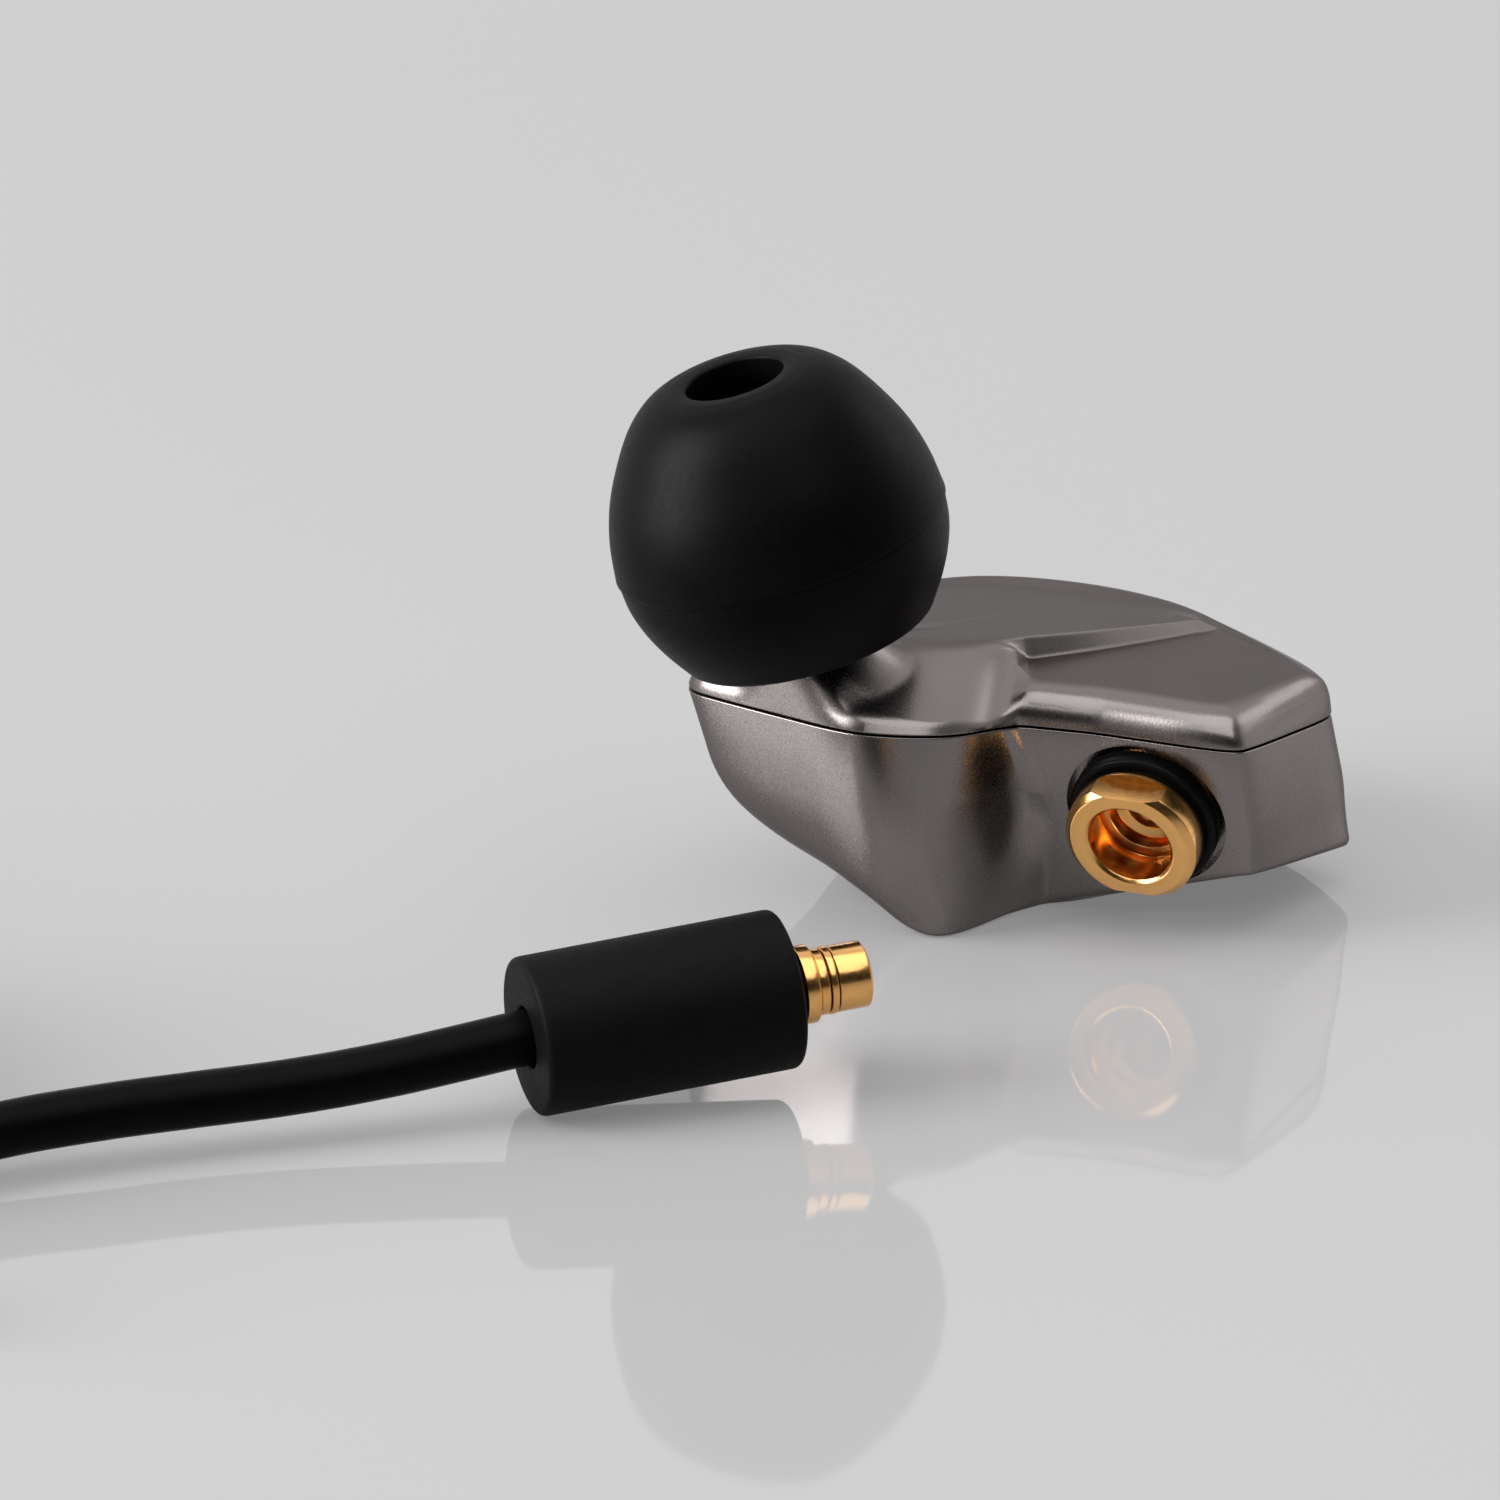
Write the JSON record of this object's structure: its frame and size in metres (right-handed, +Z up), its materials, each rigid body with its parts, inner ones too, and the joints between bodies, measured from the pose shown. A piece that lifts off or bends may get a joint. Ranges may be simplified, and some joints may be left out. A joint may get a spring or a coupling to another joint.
{
  "type": "in-ear monitor earpiece with detachable cable",
  "caption": "Metal in-ear earpiece with a soft ear tip and a round gold cable socket, with its detachable Y cable, coiled leads and stereo jack.",
  "frame": {"origin": "bottom centre of the earpiece's box as it rests on its outer face", "axes": "+Z up from the resting face, +X along the earpiece from the ear-tip end to the socket end, +Y from the socket face to the back"},
  "size_m": [0.114, 0.0569, 0.0217],
  "materials": {
    "shell_metal": "dark nickel, fine blasted satin",
    "tip_silicone": "matte",
    "gold_plate": "satin gold plating",
    "black_ring": "satin",
    "black_plastic": "fine matte",
    "cable_jacket": "satin",
    "tie_strap": "woven",
    "steel": "satin",
    "copper": "bright",
    "natural_polymer": "matte"
  },
  "bodies": {
    "earpiece": {"outer_shell": "shell_metal", "inner_shell": "shell_metal", "nozzle_mesh": "steel", "acoustic_damper": "natural_polymer", "sound_tube": "natural_polymer", "driver_case": "steel", "driver_lid": "steel", "driver_coil": "copper", "driver_magnets": "steel", "driver_armature": "steel", "driver_diaphragm": "steel", "driver_spout": "steel", "driver_terminal_board": "black_plastic", "driver_cradle": "black_plastic", "socket_body": "gold_plate", "socket_ring": "black_ring", "socket_insulator": "natural_polymer", "socket_contact": "gold_plate", "socket_lock_nut": "steel", "signal_wire": "copper", "ground_wire": "copper"},
    "ear_tip": {"ear_tip_dome": "tip_silicone", "ear_tip_core": "tip_silicone"},
    "cable": {"left_plug_barrel": "gold_plate", "left_plug_snap_ring": "gold_plate", "left_plug_pin": "gold_plate", "right_plug_barrel": "gold_plate", "right_plug_snap_ring": "gold_plate", "right_plug_pin": "gold_plate", "jack_sleeve_contact": "gold_plate", "jack_ring_contact": "gold_plate", "jack_tip_contact": "gold_plate", "left_plug_sleeve": "black_plastic", "right_plug_sleeve": "black_plastic", "jack_housing": "black_plastic", "jack_strain_relief": "black_plastic", "jack_insulator": "black_plastic", "splitter": "black_plastic", "left_lead": "cable_jacket", "left_lead_end": "cable_jacket", "left_lead_coil": "cable_jacket", "right_lead": "cable_jacket", "right_lead_end": "cable_jacket", "right_lead_coil": "cable_jacket", "main_lead": "cable_jacket", "main_lead_end": "cable_jacket", "main_lead_coil": "cable_jacket", "side_leads_tie": "tie_strap", "main_lead_tie": "tie_strap", "left_plug_insulator": "natural_polymer", "right_plug_insulator": "natural_polymer"}
  },
  "joints": [
    {"name": "ear_tip_pull", "type": "slide", "parent": "earpiece", "child": "ear_tip", "axis": [-0.2701, -0.03, 0.9624], "range_m": [0, 0.009]},
    {"name": "cable_slide", "type": "slide", "parent": "earpiece", "child": "cable", "axis": [-1, 0, 0], "range_m": [0, 0.02]}
  ]
}
